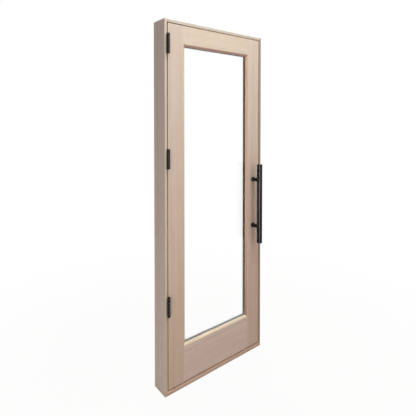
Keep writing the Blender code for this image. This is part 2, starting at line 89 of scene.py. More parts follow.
PAINTED_FOOT_SHADE_SHARE = 0.6
LOWER_SHADE_LOW, LOWER_SHADE_HIGH = 0.9, 1.7              # painted shade, darker and redder low down, fades out between these heights
LATE_TINT = (0.74, 0.66, 0.58, 1.0)         # each tint multiplies the board's pale colour
STRIPE_TINT = (0.80, 0.735, 0.68, 1.0)
PINK_TINT = (0.96, 0.90, 0.89, 1.0)
# painted highlight on lit edges, partly wear: the warmer edges
EDGE_WEAR_AND_HIGHLIGHT_TINT = (1.02, 0.95, 0.87, 1.0)
# painted shade along the foot
PAINTED_FOOT_SHADE_TINT = (0.72, 0.66, 0.60, 1.0)
SAWN_TINT = (0.66, 0.60, 0.56, 1.0)
# painted light: a cooler, greyer tint on one side face for the light on that side
PAINTED_SIDE_LIGHT_TINT = (1.01, 1.09, 1.34, 1.0)
HEMLOCK_INDEX = 1.45
MIX_FACTOR, MIX_FIRST, MIX_SECOND, MIX_RESULT = 0, 6, 7, 2      # sockets of a colour Mix node


def linear(code):
    """Turns an sRGB hex colour to linear red, green, blue and an alpha of one."""
    parts = np.array([int(code[at:at + 2], 16) for at in (0, 2, 4)]) / 255
    curved = ((parts + 0.055) / 1.055) ** 2.4
    return (*np.where(parts <= 0.04045, parts / 12.92, curved).tolist(), 1.0)


def add_node(tree, kind, inputs, stops=(), **settings):
    """Adds a node, gives each listed input its value or link, and sets a ramp's stops."""
    made = tree.nodes.new(kind)
    for name, value in settings.items():
        setattr(made, name, value)
    for socket, value in inputs.items():
        if isinstance(value, bpy.types.NodeSocket):
            tree.links.new(value, made.inputs[socket])
        else:
            made.inputs[socket].default_value = value
    for number, (position, level) in enumerate(stops):
        ramp = made.color_ramp.elements
        stop = ramp[number] if number < 2 else ramp.new(position)
        stop.position = position
        stop.color = (level, level, level, 1)
    return made


def bare_hemlock(board, turn, pith, pale, streak=0.5, edge_wear_and_highlight=0.5, painted_light_face=None,
                 painted_light_tint=PAINTED_SIDE_LIGHT_TINT, end=SAWN_TINT, painted_shade_to=None, painted_lower_shade=None):
    """Hemlock for one board, cut from rings about a pith that lies beside it.

    turn brings the grain to local Z. pith is how far the board's middle lies from the tree's
    middle, across, through and along the grain. The colour at a point goes by its distance
    from the pith plus a slow noise: that distance over the ring width, less its whole part,
    gives each year's slide from early to late wood, and a noise on the distance alone gives
    the stripes. A fine noise drawn out along the grain gives the fibres. pale is the colour of
    the early wood, and streak and corners say how strongly the stripes and the warmer edges
    show; the warmer edges are partly handling wear and partly a painted highlight on lit edges.
    painted_light_face is the direction of a face whose colour is multiplied by the tint cast,
    painted light standing in for the light on that side, end is the tint of the sawn ends,
    painted_shade_to is a height up to which the wood is darkened as painted shade along its foot,
    and butt is a darker, redder tint of the lower half of an upright board, painted shade for the
    light falling off towards the floor.
    """
    low, high = (np.array(corner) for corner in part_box(board))
    centre, half = (low + high) / 2, (high - low) / 2
    along = (GRAIN_ALONG_X, GRAIN_ALONG_Y, GRAIN_ALONG_Z).index(turn)
    across = [axis for axis in range(3) if axis != along]
    x, y, z = centre
    turned_centre = np.array([(-z, y, x), (x, -z, y), (x, y, z)][along])
    finish = bpy.data.materials.new(f"bare_hemlock_{board}")
    finish.use_nodes = True
    tree = finish.node_tree
    shader = tree.nodes["Principled BSDF"]
    where = add_node(tree, "ShaderNodeTexCoord", {}).outputs["Object"]
    log = add_node(tree, "ShaderNodeMapping", {
        "Vector": where, "Rotation": turn,
        "Location": tuple(np.array(pith) - turned_centre)}).outputs[0]

    # Rings and stripes, by the distance from the pith.
    slow = add_node(tree, "ShaderNodeVectorMath", {0: log, 1: WANDER_RATE}, operation="MULTIPLY")
    wander = add_node(tree, "ShaderNodeTexNoise", {
        "Vector": slow.outputs[0], "Scale": 1.0, "Detail": 3.0, "Roughness": 0.45}).outputs[0]
    flat = add_node(tree, "ShaderNodeVectorMath", {
        0: log, 1: (1, 1, LOG_TAPER)}, operation="MULTIPLY")
    reach = add_node(tree, "ShaderNodeVectorMath", {0: flat.outputs[0]}, operation="LENGTH")
    radius = add_node(tree, "ShaderNodeMath", {
        0: wander, 1: RING_WANDER * 2, 2: reach.outputs["Value"]},
        operation="MULTIPLY_ADD").outputs[0]
    years_wide = add_node(tree, "ShaderNodeTexNoise", {
        "W": radius, "Scale": 1 / (RING_WIDTH * YEARS_IN_RUN), "Detail": 0.0},
        noise_dimensions="1D").outputs[0]
    count = add_node(tree, "ShaderNodeMath", {
        0: radius, 1: 1 / RING_WIDTH}, operation="MULTIPLY").outputs[0]
    year = add_node(tree, "ShaderNodeMath", {
        0: years_wide, 1: RUN_SHIFT, 2: count}, operation="MULTIPLY_ADD").outputs[0]
    share = add_node(tree, "ShaderNodeMath", {0: year}, operation="FRACT").outputs[0]
    late = add_node(tree, "ShaderNodeValToRGB", {"Fac": share}, stops=LATE_WOOD).outputs[0]
    stripes = add_node(tree, "ShaderNodeTexNoise", {
        "W": radius, "Scale": 1 / STREAK_WIDTH, "Detail": 3.0, "Roughness": 0.8},
        noise_dimensions="1D").outputs[0]
    stripe = add_node(tree, "ShaderNodeMapRange", {
        "Value": stripes, "From Min": 0.34, "From Max": 0.68},
        interpolation_type="SMOOTHSTEP").outputs[0]

    # Patches and fibres, drawn out along the grain.
    patch_size = (1 / BLOTCH_WIDTH, 1 / BLOTCH_WIDTH, 1 / BLOTCH_LENGTH)
    patch = add_node(tree, "ShaderNodeVectorMath", {0: log, 1: patch_size}, operation="MULTIPLY")
    patches = add_node(tree, "ShaderNodeTexNoise", {
        "Vector": patch.outputs[0], "Scale": 1.0, "Detail": 2.0}).outputs[0]
    blotch = add_node(tree, "ShaderNodeMapRange", {
        "Value": patches, "From Min": 0.35, "From Max": 0.65}).outputs[0]
    thread_size = (1 / FIBRE_WIDTH, 1 / FIBRE_WIDTH, 1 / FIBRE_LENGTH)
    thread = add_node(tree, "ShaderNodeVectorMath", {0: log, 1: thread_size}, operation="MULTIPLY")
    fibre = add_node(tree, "ShaderNodeTexNoise", {
        "Vector": thread.outputs[0], "Scale": 1.0, "Detail": 3.0, "Roughness": 0.6}).outputs[0]

    # Colour: the early wood, tinted by each of them in turn.
    early = np.array(linear(pale))
    lateness = add_node(tree, "ShaderNodeMath", {0: late, 1: 0.6}, operation="MULTIPLY").outputs[0]
    striping = add_node(tree, "ShaderNodeMath", {
        0: stripe, 1: streak}, operation="MULTIPLY").outputs[0]
    colour = tuple(early)
    for amount, tint in ((blotch, PINK_TINT), (striping, STRIPE_TINT), (lateness, LATE_TINT)):
        colour = add_node(tree, "ShaderNodeMix", {
            MIX_FACTOR: amount, MIX_FIRST: colour, MIX_SECOND: tuple(early * tint)},
            data_type="RGBA").outputs[MIX_RESULT]
    fleck = add_node(tree, "ShaderNodeMapRange", {
        "Value": fibre, "From Min": 0.25, "From Max": 0.75, "To Min": 0.88,
        "To Max": 1.09}).outputs[0]
    colour = add_node(tree, "ShaderNodeMix", {
        MIX_FACTOR: 1.0, MIX_FIRST: colour, MIX_SECOND: fleck},
        data_type="RGBA", blend_type="MULTIPLY").outputs[MIX_RESULT]
    # painted shade: the lower half of an upright board darker and redder, for light falling off
    # towards the floor
    if painted_lower_shade is not None:
        height = add_node(tree, "ShaderNodeSeparateXYZ", {0: where}).outputs[2]
        lower_shade_share = add_node(tree, "ShaderNodeMapRange", {
            "Value": height, "From Min": LOWER_SHADE_LOW, "From Max": LOWER_SHADE_HIGH,
            "To Min": 1.0, "To Max": 0.0}, interpolation_type="SMOOTHSTEP").outputs[0]
        colour = add_node(tree, "ShaderNodeMix", {
            MIX_FACTOR: lower_shade_share, MIX_FIRST: colour, MIX_SECOND: painted_lower_shade},
            data_type="RGBA", blend_type="MULTIPLY").outputs[MIX_RESULT]

    # Skins: the face with painted light, the painted shade along the foot, the warmer edges (partly
    # wear, partly painted highlight) and the sawn ends.
    offset = add_node(tree, "ShaderNodeVectorMath", {
        0: where, 1: tuple(centre)}, operation="SUBTRACT").outputs[0]
    from_middle = add_node(tree, "ShaderNodeVectorMath", {0: offset}, operation="ABSOLUTE")
    depth = add_node(tree, "ShaderNodeVectorMath", {
        0: tuple(half), 1: from_middle.outputs[0]}, operation="SUBTRACT")
    depths = add_node(tree, "ShaderNodeSeparateXYZ", {0: depth.outputs[0]}).outputs
    corner = add_node(tree, "ShaderNodeMath", {
        0: depths[across[0]], 1: depths[across[1]]}, operation="MAXIMUM").outputs[0]
    # partly wear, partly painted highlight: the edges warmer within this reach of a corner
    edge_wear_and_highlight_mask = add_node(tree, "ShaderNodeMapRange", {
        "Value": corner, "From Min": 0.0, "From Max": EDGE_WEAR_AND_HIGHLIGHT_REACH,
        "To Min": edge_wear_and_highlight, "To Max": 0.0}).outputs[0]
    sawn = add_node(tree, "ShaderNodeMath", {
        0: depths[along], 1: END_SKIN}, operation="LESS_THAN").outputs[0]
    skins = [(edge_wear_and_highlight_mask, tuple(early * EDGE_WEAR_AND_HIGHLIGHT_TINT)), (sawn, tuple(early * end))]
    # painted shade: the foot darkened up to a given height
    if painted_shade_to is not None:
        height = add_node(tree, "ShaderNodeSeparateXYZ", {0: where}).outputs[2]
        painted_foot_shade = add_node(tree, "ShaderNodeMapRange", {
            "Value": height, "From Min": painted_shade_to - PAINTED_FOOT_SHADE_FADE, "From Max": painted_shade_to + PAINTED_FOOT_SHADE_FADE,
            "To Min": PAINTED_FOOT_SHADE_SHARE, "To Max": 0.0}).outputs[0]
        skins.insert(0, (painted_foot_shade, tuple(early * PAINTED_FOOT_SHADE_TINT)))
    # painted light: one face's colour is multiplied by its own tint for the light on that side
    if painted_light_face is not None:
        side = add_node(tree, "ShaderNodeVectorMath", {
            0: offset, 1: painted_light_face}, operation="DOT_PRODUCT").outputs["Value"]
        skin_from = abs(float(np.dot(half, painted_light_face))) - END_SKIN
        outside = add_node(tree, "ShaderNodeMath", {
            0: side, 1: skin_from}, operation="GREATER_THAN").outputs[0]
        painted_light_colour = add_node(tree, "ShaderNodeMix", {
            MIX_FACTOR: 1.0, MIX_FIRST: colour, MIX_SECOND: painted_light_tint},
            data_type="RGBA", blend_type="MULTIPLY").outputs[MIX_RESULT]
        skins.insert(0, (outside, painted_light_colour))
    for amount, tone in skins:
        colour = add_node(tree, "ShaderNodeMix", {
            MIX_FACTOR: amount, MIX_FIRST: colour, MIX_SECOND: tone},
            data_type="RGBA").outputs[MIX_RESULT]

    # Gloss and relief, by the fibres and the harder late wood.
    rough = add_node(tree, "ShaderNodeMapRange", {
        "Value": fibre, "From Min": 0.3, "From Max": 0.7,
        "To Min": 0.52, "To Max": 0.66}).outputs[0]
    relief = add_node(tree, "ShaderNodeMath", {
        0: late, 1: 0.5, 2: fibre}, operation="MULTIPLY_ADD").outputs[0]
    bump = add_node(tree, "ShaderNodeBump", {
        "Height": relief, "Strength": 0.6, "Distance": FIBRE_HEIGHT})
    tree.links.new(colour, shader.inputs["Base Color"])
    tree.links.new(rough, shader.inputs["Roughness"])
    tree.links.new(bump.outputs[0], shader.inputs["Normal"])
    shader.inputs["IOR"].default_value = HEMLOCK_INDEX
    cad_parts[board].material_slots[0].material = finish
    return finish


# The sill's foot, below 12 mm, is darkened as painted shade under its nose.
bare_hemlock("sill", GRAIN_ALONG_X, (0.050, 0.30, 0.2), "CEB09D", painted_light_face=(0, 0, -1),
             # The sill's sawn ends get a cool tint, painted light to match the light on the jambs'
             # sides.
             end=(0.85, 1.0, 1.15, 1), painted_shade_to=0.012)
bare_hemlock("hinge_jamb", GRAIN_ALONG_Z, (0.060, 0.24, 0.9), "CCBBA7", streak=0.8,
             # The outer side face is painted cooler and greyer: painted light for the light on that
             # side.
             painted_light_face=(-1, 0, 0))
# Painted shade: this jamb's tone is darker than the hinge jamb's, for the shade on its strip beside
# the leaf's edge.
bare_hemlock("latch_jamb", GRAIN_ALONG_Z, (0.050, -0.31, 2.3), "AC9380", painted_light_face=(1, 0, 0))
bare_hemlock("header_jamb", GRAIN_ALONG_X, (0.070, 0.27, 1.6), "C8BFB1", painted_light_face=(0, 0, -1),
             # Its underside, seen in the gap over the leaf, is painted half as bright again:
             # painted light in the gap.
             painted_light_tint=(1.5, 1.4, 1.3, 1))

# Stops. Three thin hemlock battens nailed inside the box, 5.5 mm behind the closed leaf: the two
# on the jambs stand on the sill and butt up under the one on the header.
bare_hemlock("head_stop", GRAIN_ALONG_X, (0.12, 0.22, 3.1), "D5BFAC")
bare_hemlock("hinge_side_stop", GRAIN_ALONG_Z, (0.10, 0.25, 4.0), "D2BCA8")
bare_hemlock("latch_side_stop", GRAIN_ALONG_Z, (0.08, -0.22, 5.2), "D4BEAA")

# Leaf frame. Two stiles of full height with the rails dowelled between them, sanded flush after
# gluing, so that only grain and tone show the joints. The stiles are cut on the quarter, with
# straight lines, and their lower halves are painted darker and redder as painted shade; the broad
# bottom rail is cut flatter and shows wide figure.
bare_hemlock("hinge_stile", GRAIN_ALONG_Z, (0.401, 0.06, 9.17), "D2C0B1", streak=0.6,
             painted_lower_shade=(1.0, 0.95, 0.91, 1))
bare_hemlock("latch_stile", GRAIN_ALONG_Z, (-0.348, 0.08, 10.16), "D6C7B8", streak=0.8,
             painted_lower_shade=(0.95, 0.85, 0.82, 1))
bare_hemlock("top_rail", GRAIN_ALONG_X, (0.351, 0.10, 10.97), "D5C6B3", streak=0.4)
bare_hemlock("bottom_rail", GRAIN_ALONG_X, (0.251, 0.17, 12.27), "D9C5BB", streak=0.4)

# Glazing beads. Eight slim mitred strips of creamy hemlock hold the sealed unit, four outside
# and four inside, each bevelled from the wood down to the glass and pinned. Their tones are
# painted light: the bottom beads, which face up, are painted near-white as if lit, and the top
# and latch-side beads are painted darker as painted shade.
for number, side in enumerate(("outer", "inner")):
    for place, (bead, pale) in enumerate((("hinge_side", "E0C9AE"), ("latch_side", "B99577"),
                                          ("top", "B4978A"), ("bottom", "FFF0D4"))):
        turn = GRAIN_ALONG_Z if place < 2 else GRAIN_ALONG_X
        up_the_log = 10.0 + 3 * number + 1.3 * place    # each bead from a stretch of its own
        bare_hemlock(f"{side}_{bead}_bead", turn, (0.20, 0.11, up_the_log), pale, streak=0.4,
                     edge_wear_and_highlight=0.0)

# Panes. Two sheets of toughened float glass, 4 mm thick: colourless face on, with a trace of
# haze where hands and steam have been. They reflect less than real glass does.
SMUDGE_SIZE = 0.070
HAZE = 0.03
PANE_INDEX = 1.33           # 1.52 in float glass, lowered to keep the pull's mirror image faint


def float_glass():
    """Clear glass whose roughness rises a little in soft patches."""
    finish = bpy.data.materials.new("toughened_float_glass")
    finish.use_nodes = True
    tree = finish.node_tree
    shader = tree.nodes["Principled BSDF"]
    where = add_node(tree, "ShaderNodeTexCoord", {}).outputs["Object"]
    smudge = add_node(tree, "ShaderNodeTexNoise", {
        "Vector": where, "Scale": 1 / SMUDGE_SIZE, "Detail": 3.0}).outputs[0]
    haze = add_node(tree, "ShaderNodeMapRange", {
        "Value": smudge, "From Min": 0.5, "From Max": 0.8,
        "To Min": 0.0, "To Max": HAZE}).outputs[0]
    tree.links.new(haze, shader.inputs["Roughness"])
    shader.inputs["Base Color"].default_value = linear("FFFFFF")
    shader.inputs["IOR"].default_value = PANE_INDEX
    shader.inputs["Transmission Weight"].default_value = 1.0
    return finish


glass = float_glass()
for pane in ("outer_pane", "inner_pane"):
    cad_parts[pane].material_slots[0].material = glass

# Spacer. A 12 mm bar of black-anodised aluminium runs round between the panes in black butyl
# sealant, and shows as a thin dark line inside the beads. Fine vent slots run along it.
SLOT_PITCH = 0.004          # 1.5 mm on the real bar, drawn coarser
SLOT_DEPTH = 0.0002
DUST_FROM, DUST_TO = 0.25, 0.30     # the dust along the bottom fades out between these heights


def black_spacer_bar():
    """Dark grey matt metal: a sine along its length gives fine ribs, and the bottom is dusty."""
    finish = bpy.data.materials.new("black_anodised_spacer")
    finish.use_nodes = True
    tree = finish.node_tree
    shader = tree.nodes["Principled BSDF"]
    where = add_node(tree, "ShaderNodeTexCoord", {}).outputs["Object"]
    parts = add_node(tree, "ShaderNodeSeparateXYZ", {0: where}).outputs
    run = add_node(tree, "ShaderNodeMath", {0: parts[0], 1: parts[2]}, operation="ADD").outputs[0]
    phase = add_node(tree, "ShaderNodeMath", {
        0: run, 1: 2 * math.pi / SLOT_PITCH}, operation="MULTIPLY").outputs[0]
    ribs = add_node(tree, "ShaderNodeMath", {0: phase}, operation="SINE").outputs[0]
    tone = add_node(tree, "ShaderNodeMapRange", {
        "Value": ribs, "From Min": -1.0, "From Max": 1.0, "To Min": 0.92, "To Max": 1.0}).outputs[0]
    dust = add_node(tree, "ShaderNodeMapRange", {
        "Value": parts[2], "From Min": DUST_FROM, "From Max": DUST_TO,
        "To Min": 1.0, "To Max": 0.0}).outputs[0]
    metal = add_node(tree, "ShaderNodeMix", {
        MIX_FACTOR: dust, MIX_FIRST: linear("4A484E"), MIX_SECOND: linear("9B99A2")},
        data_type="RGBA").outputs[MIX_RESULT]
    colour = add_node(tree, "ShaderNodeMix", {
        MIX_FACTOR: 1.0, MIX_FIRST: metal, MIX_SECOND: tone},
        data_type="RGBA", blend_type="MULTIPLY").outputs[MIX_RESULT]
    bump = add_node(tree, "ShaderNodeBump", {
        "Height": ribs, "Strength": 0.08, "Distance": SLOT_DEPTH})
    tree.links.new(colour, shader.inputs["Base Color"])
    tree.links.new(bump.outputs[0], shader.inputs["Normal"])
    shader.inputs["Roughness"].default_value = 0.5
    shader.inputs["IOR"].default_value = 1.5
    return finish


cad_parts["glass_spacer"].material_slots[0].material = black_spacer_bar()

# Hinges. Three butt hinges of 3 mm steel, 102 mm high, powder-coated satin black. Their plates
# are let in flush and screwed, their five knuckles are rolled about a loose pin, and the coat
# is finely pebbled, so that it shows one soft highlight down the barrel.
PEBBLE_SIZE = 0.0012        # 0.4 mm in the coat, drawn coarser
PEBBLE_HEIGHT = 0.00005
WEAR_PER_METRE = 35.0       # patches a little glossier or duller where hands have been
PLATE_EDGE = 0.0003
HALF_CLEARANCE = 0.00275    # from the pin's axis to the face of either plate
HOLE_LEVELS = (-0.037, -0.013, 0.013, 0.037)
HOLE_DEPTHS = (0.010, 0.020)        # behind the leaf's front, by turns
HEAD_RADIUS = 0.0042
HEAD_DEPTH = 0.0024
HEAD_RIM = 0.0001           # the flank starts this far below the face
HEAD_SUNK = 0.0001          # the face lies this far below the plate's
HEAD_PLAY = 0.0003          # the countersink is this much wider than the head
HEAD_RINGS = 15
SHANK_RADIUS = 0.0021
SHANK_LENGTH = 0.002
SHANK_TIP = 0.9             # share of its radius that the shank keeps at its end
SHANK_PLAY = 0.0002         # and its bore than the shank
SINK_DEPTH = 0.004
SINK_RISE = 0.001           # a countersink's cutter stands this far out of the plate
RECESS_REACH = 0.0026
RECESS_END = 0.00025        # length over which a slot of the cross ends
RECESS_HALF_WIDTH = 0.00055
RECESS_DEPTH = 0.0014
SCREW_STEPS = 48
ROUND_STEPS = 64
SAME_POINT = 1e-6
FLAT_ANGLE = math.radians(1)        # faces that meet flatter than this become one
EASED_ANGLE = math.radians(40)      # edges sharper than this are eased
SHARP_ANGLE = math.radians(35)      # and edges sharper than this are shaded sharp


def black_powder_coat(name, index):
    """Satin black polyester powder on steel: dark, finely pebbled, shining by its index."""
    finish = bpy.data.materials.new(name)
    finish.use_nodes = True
    tree = finish.node_tree
    shader = tree.nodes["Principled BSDF"]
    where = add_node(tree, "ShaderNodeTexCoord", {}).outputs["Object"]
    pebbles = add_node(tree, "ShaderNodeTexNoise", {
        "Vector": where, "Scale": 1 / PEBBLE_SIZE, "Detail": 2.0}).outputs[0]
    wear = add_node(tree, "ShaderNodeTexNoise", {
        "Vector": where, "Scale": WEAR_PER_METRE, "Detail": 1.0}).outputs[0]
    tone = add_node(tree, "ShaderNodeMix", {
        MIX_FACTOR: wear, MIX_FIRST: linear("050507"), MIX_SECOND: linear("0D0D12")},
        data_type="RGBA").outputs[MIX_RESULT]
    rough = add_node(tree, "ShaderNodeMapRange", {
        "Value": wear, "From Min": 0.3, "From Max": 0.7,
        "To Min": 0.185, "To Max": 0.215}).outputs[0]
    bump = add_node(tree, "ShaderNodeBump", {
        "Height": pebbles, "Strength": 0.015, "Distance": PEBBLE_HEIGHT})
    tree.links.new(tone, shader.inputs["Base Color"])
    tree.links.new(rough, shader.inputs["Roughness"])
    tree.links.new(bump.outputs[0], shader.inputs["Normal"])
    shader.inputs["IOR"].default_value = index
    return finish


def turned(radii, heights, steps=ROUND_STEPS):
    """Points and faces of a turned solid whose profile starts and ends on its axis.

    A point is the profile's radius times the cosine and sine of its step's angle, at the
    profile's height. The two ends are single points, closed by fans of triangles.
    """
    radii, heights = np.asarray(radii[1:-1], float), np.asarray(heights, float)
    angle = np.arange(steps) * 2 * math.pi / steps
    x, y = radii[:, None] * np.cos(angle), radii[:, None] * np.sin(angle)
    rings = np.stack(np.broadcast_arrays(x, y, heights[1:-1, None]), axis=-1)
    points = np.concatenate([rings.reshape(-1, 3), [[0, 0, heights[0]], [0, 0, heights[-1]]]])
    here = np.arange(steps)
    following = (here + 1) % steps
    first = (np.arange(len(radii) - 1) * steps)[:, None]
    quads = np.stack([first + here, first + following, first + steps + following,
                      first + steps + here], axis=-1).reshape(-1, 4)
    last = (len(radii) - 1) * steps
    start = np.stack([np.full(steps, len(points) - 2), following, here], axis=-1)
    end = np.stack([np.full(steps, len(points) - 1), last + here, last + following], axis=-1)
    return points, quads.tolist() + start.tolist() + end.tolist()


def eased(radius, height, ease, steps=5):
    """Profile points of a quarter round of that ease on a corner that faces out and up."""
    angle = np.linspace(0, math.pi / 2, steps)
    radii = radius - ease + ease * np.cos(angle)
    heights = height - ease + ease * np.sin(angle)
    return radii.tolist(), heights.tolist()


def placed(shapes):
    """Several shapes as one, each set by its own axes (rows: local X, Y, Z) and origin."""
    points, faces, count = [], [], 0
    for (shape_points, shape_faces), axes, origin in shapes:
        points.append(shape_points @ np.array(axes, float) + np.array(origin, float))
        faces += [[index + count for index in face] for face in shape_faces]
        count += len(shape_points)
    return np.concatenate(points), faces


def add_piece(name, shape, finish, body):
    """Puts a shape in the scene as a smooth-shaded piece that rides on a body."""
    points, faces = shape
    mesh = bpy.data.meshes.new(name)
    mesh.from_pydata(points.tolist(), [], faces)
    mesh.materials.append(finish)
    mesh.shade_smooth()
    mesh.set_sharp_from_angle(angle=SHARP_ANGLE)
    piece = bpy.data.objects.new(name, mesh)
    bpy.context.scene.collection.objects.link(piece)
    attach(piece, body)
    return piece


def cross_screw(radius=HEAD_RADIUS, depth=HEAD_DEPTH):
    """A countersunk cross-head screw along +Z, its face at height 0.

    The face is a disc of rings, sunk where a point lies within half a slot's width of either
    centre line, and the flank is a cone down to the shank.
    """
    face = np.linspace(0, radius, HEAD_RINGS)
    end = -depth - SHANK_LENGTH
    radii = [0, SHANK_RADIUS * SHANK_TIP, SHANK_RADIUS, radius, *face[-2:0:-1], 0]
    heights = [end, end, -depth, -HEAD_RIM] + [0] * (HEAD_RINGS - 1)
    points, faces = turned(radii, heights, SCREW_STEPS)
    x, y, z = points.T
    reach = np.hypot(x, y)
    near = np.minimum(np.abs(x), np.abs(y))
    in_slot = np.clip(1.5 - near / RECESS_HALF_WIDTH, 0, 1)
    in_reach = np.clip((RECESS_REACH - reach) / RECESS_END, 0, 1)
    taper = 1 - 0.5 * reach / RECESS_REACH
    points[:, 2] = np.where(z > -HEAD_RIM / 2, z - RECESS_DEPTH * in_slot * in_reach * taper, z)
    return points, faces


coat = black_powder_coat("black_powder_coated_hinges", index=1.26)
FACING_RIGHT = ((0, 1, 0), (0, 0, 1), (1, 0, 0))
FACING_LEFT = ((0, -1, 0), (0, 0, 1), (-1, 0, 0))
leaf_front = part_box("hinge_stile")[0].y
bore_radius, rim_radius = SHANK_RADIUS + SHANK_PLAY, HEAD_RADIUS + HEAD_PLAY
sink = turned([0, bore_radius, bore_radius, rim_radius, rim_radius, 0],
              [-SINK_DEPTH, -SINK_DEPTH, -HEAD_DEPTH, 0, SINK_RISE, SINK_RISE], SCREW_STEPS)
for level in ("top", "middle", "bottom"):
    for part, body, outwards in (("frame_plate", "frame", 1), ("leaf_plate", "leaf", -1)):
        node = f"{level}_hinge_{part}"
        low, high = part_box(node)
        pin_low, pin_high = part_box(f"{level}_hinge_pin")
        pin_x, middle = (pin_low.x + pin_high.x) / 2, (low.z + high.z) / 2
        face = pin_x - outwards * HALF_CLEARANCE
        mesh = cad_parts[node].data.copy()
        shape = bmesh.new()
        shape.from_mesh(mesh)
        bmesh.ops.remove_doubles(shape, verts=shape.verts, dist=SAME_POINT)
        bmesh.ops.dissolve_limit(shape, angle_limit=FLAT_ANGLE, verts=shape.verts,
                                 edges=shape.edges)
        shape.to_mesh(mesh)
        shape.free()
        mesh.materials.clear()
        mesh.materials.append(coat)
        plate = bpy.data.objects.new(f"{level}_hinge_{part}_coated", mesh)
        bpy.context.scene.collection.objects.link(plate)
        edge = plate.modifiers.new("eased_edges", "BEVEL")
        edge.width, edge.segments, edge.limit_method = PLATE_EDGE, 2, "ANGLE"
        edge.angle_limit = EASED_ANGLE
        axes = FACING_RIGHT if outwards > 0 else FACING_LEFT
        spots = [(face, leaf_front + HOLE_DEPTHS[number % 2], middle + rise)
                 for number, rise in enumerate(HOLE_LEVELS)]
        points, faces = placed([(sink, axes, spot) for spot in spots])
        sink_mesh = bpy.data.meshes.new("countersinks")
        sink_mesh.from_pydata(points.tolist(), [], faces)
        sinks = bpy.data.objects.new("countersinks", sink_mesh)
        bpy.context.scene.collection.objects.link(sinks)
        holes = plate.modifiers.new("countersinks", "BOOLEAN")
        holes.operation, holes.solver, holes.object = "DIFFERENCE", "EXACT", sinks
        finished = bpy.data.meshes.new_from_object(
            plate.evaluated_get(bpy.context.evaluated_depsgraph_get()))
        plate.modifiers.clear()
        plate.data = finished
        finished.shade_smooth()
        finished.set_sharp_from_angle(angle=SHARP_ANGLE)
        bpy.data.objects.remove(sinks)
        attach(plate, body)
        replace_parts(plate, node)
        sunk_spots = [(x - outwards * HEAD_SUNK, y, z) for x, y, z in spots]
        add_piece(f"{level}_hinge_{part}_screws",
                  placed([(cross_screw(), axes, spot) for spot in sunk_spots]),
                  coat, body)

# Hinge pins. A turned steel pin drops through each barrel, with a domed button at both ends,
# coated with the plates.
PIN_RADIUS = 0.0055
TIP_RADIUS = 0.0082
TIP_DOME = 0.0014
TIP_ARRIS = 0.0003
PIN_PLAY = 0.0003
for level in ("top", "middle", "bottom"):
    low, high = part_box(f"{level}_hinge_pin")
    plate_low, plate_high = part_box(f"{level}_hinge_frame_plate")
    shoulder = (plate_high.z - plate_low.z) / 2 + PIN_PLAY
    tip = (high.z - low.z) / 2
    rise = np.linspace(0, math.pi / 2, 9)[:-1]
    dome_radii = (TIP_RADIUS * np.cos(rise)).tolist()
    dome_heights = (tip - TIP_DOME * (1 - np.sin(rise))).tolist()
    radii = [PIN_RADIUS, TIP_RADIUS - TIP_ARRIS, TIP_RADIUS, *dome_radii, 0]
    heights = [shoulder, shoulder, shoulder + TIP_ARRIS, *dome_heights, tip]
    pin = add_piece(f"{level}_hinge_pin_coated",
                    placed([(turned(radii[::-1] + radii, [-h for h in heights[::-1]] + heights),
                             np.eye(3), (low + high) / 2)]), coat, "frame")
    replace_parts(pin, f"{level}_hinge_pin")

# Outer pull. A round steel bar of 35 mm on two standoffs, bolted through the latch stile and
# powder-coated satin black. Each post has a rosette on the wood and is hollowed at its far end
# to sit on the bar, with a grub screw under it.
BAR_RADIUS = 0.0175
BAR_EASE = 0.0012
BAR_STEPS = 96
POST_RADIUS = 0.0115
POST_STEPS = 72
ROSETTE_RADIUS = 0.0145
ROSETTE_THICKNESS = 0.010
ROSETTE_EASE = 0.0014
SEAT_GAP = 0.0003           # between post and bar, and the small bevel at a rosette's foot
FILLET = 0.0022
GRUB_RADIUS = 0.0022
GRUB_LENGTH = 0.002
GRUB_LIP = 0.0002
GRUB_SOCKET = 0.0012
GRUB_REACH = 0.024          # from the wood
GRUB_STEPS = 24


def round_bar(node, radius, ease):
    """A bar on its CAD node's middle, along Z: a turned profile with quarter-round ends."""
    low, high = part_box(node)
    half = (high.z - low.z) / 2
    end_radii, end_heights = eased(radius, half, ease)
    shape = turned([0, *end_radii[::-1], *end_radii, 0],
                   [-half, *[-h for h in end_heights[::-1]], *end_heights, half], BAR_STEPS)
    return placed([(shape, np.eye(3), (low + high) / 2)])


def saddle_post(node, bar, outwards, shaft, rosette, bar_radius):
    """A post from the wood to a bar: rosette, small fillet, shaft, and an end cut to the bar.

    The end's height at a point is the axis height less the root of the bar's radius squared
    less the point's distance from the bar's axis squared.
    """
    low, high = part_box(node)
    bar_low, bar_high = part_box(bar)
    middle = (bar_low + bar_high) / 2
    seat = low.y if outwards > 0 else high.y
    axis = abs(middle.y - seat)
    rim_radii, rim_heights = eased(rosette, ROSETTE_THICKNESS, ROSETTE_EASE)
    swing = np.linspace(0, math.pi / 2, 6)
    neck_radii = (shaft + FILLET - FILLET * np.sin(swing)).tolist()
    neck_heights = (ROSETTE_THICKNESS + FILLET - FILLET * np.cos(swing)).tolist()
    seat_radii = np.linspace(shaft, 0, 7).tolist()
    points, faces = turned(
        [0, rosette - SEAT_GAP, rosette, *rim_radii, *neck_radii, *seat_radii],
        [0, 0, SEAT_GAP, *rim_heights, *neck_heights, *[axis] * len(seat_radii)], POST_STEPS)
    hollow = np.sqrt((bar_radius + SEAT_GAP) ** 2 - np.clip(np.abs(points[:, 0]), 0, shaft) ** 2)
    points[:, 2] = np.where(points[:, 2] > axis - SAME_POINT, axis - hollow, points[:, 2])
    base = (middle.x, seat, (low.z + high.z) / 2)
    return placed([((points, faces), ((-outwards, 0, 0), (0, 0, 1), (0, outwards, 0)), base)]), base


